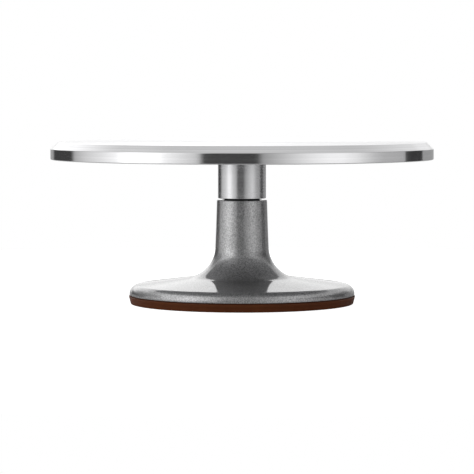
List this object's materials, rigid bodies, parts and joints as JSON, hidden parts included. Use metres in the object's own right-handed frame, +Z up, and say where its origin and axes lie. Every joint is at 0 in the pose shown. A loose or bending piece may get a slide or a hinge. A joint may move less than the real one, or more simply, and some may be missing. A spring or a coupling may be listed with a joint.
{
  "type": "cake turntable",
  "caption": "Footed cake decorating turntable: a bevelled round aluminium plate that spins on ball bearings in a flared cast pedestal with a rubber foot ring.",
  "frame": {"origin": "on the turning axis, at the level of the surface that the foot ring stands on", "axes": "+Z up along the turning axis; +X and +Y each lie midway between two of the pedestal's webs"},
  "size_m": [0.305, 0.305, 0.129],
  "materials": {
    "turned_aluminium": "fine turned rings, brushed bright",
    "collar_aluminium": "turned, satin",
    "silver_grey_coat": "cast aluminium under a gloss silver-grey metallic coat",
    "brown_rubber": "satin red-brown rubber",
    "ground_steel": "ground",
    "black_oxide_steel": "black oxide",
    "zinc_steel": "bright zinc plate",
    "spacer_aluminium": "plain turned",
    "bearing_steel": "ground and polished bearing steel",
    "cage_nylon": "natural nylon",
    "blue_nylon": "dyed nylon",
    "black_rubber": "satin black rubber",
    "seal_rubber": "moulded black rubber over a steel disc"
  },
  "bodies": {
    "base": {"pedestal": "silver_grey_coat", "foot_ring": "brown_rubber", "bearing_clip": "black_oxide_steel", "upper_bearing_outer_race": "bearing_steel", "upper_bearing_seals": "seal_rubber", "lower_bearing_outer_race": "bearing_steel", "lower_bearing_seals": "seal_rubber"},
    "turntable": {"plate": "turned_aluminium", "hub_collar": "collar_aluminium", "collar_screws": "black_oxide_steel", "spindle": "ground_steel", "dust_ring": "black_rubber", "bearing_spacer": "spacer_aluminium", "spindle_washer": "zinc_steel", "lock_nut": "zinc_steel", "lock_nut_insert": "blue_nylon", "upper_bearing_inner_race": "bearing_steel", "lower_bearing_inner_race": "bearing_steel"},
    "upper_ball_set": {"upper_bearing_balls": "bearing_steel", "upper_bearing_cage": "cage_nylon"},
    "lower_ball_set": {"lower_bearing_balls": "bearing_steel", "lower_bearing_cage": "cage_nylon"}
  },
  "joints": [
    {"name": "turntable_spin", "type": "hinge", "parent": "base", "child": "turntable", "pos_m": [0, 0, 0.129], "axis": [0, 0, 1], "continuous": true},
    {"name": "upper_cage_spin", "type": "hinge", "parent": "base", "child": "upper_ball_set", "pos_m": [0, 0, 0.0744], "axis": [0, 0, 1], "continuous": true},
    {"name": "lower_cage_spin", "type": "hinge", "parent": "base", "child": "lower_ball_set", "pos_m": [0, 0, 0.023], "axis": [0, 0, 1], "continuous": true}
  ],
  "couplings": [
    {"joint": "upper_cage_spin", "follows": "turntable_spin", "ratio": 0.3647},
    {"joint": "lower_cage_spin", "follows": "turntable_spin", "ratio": 0.3647}
  ]
}
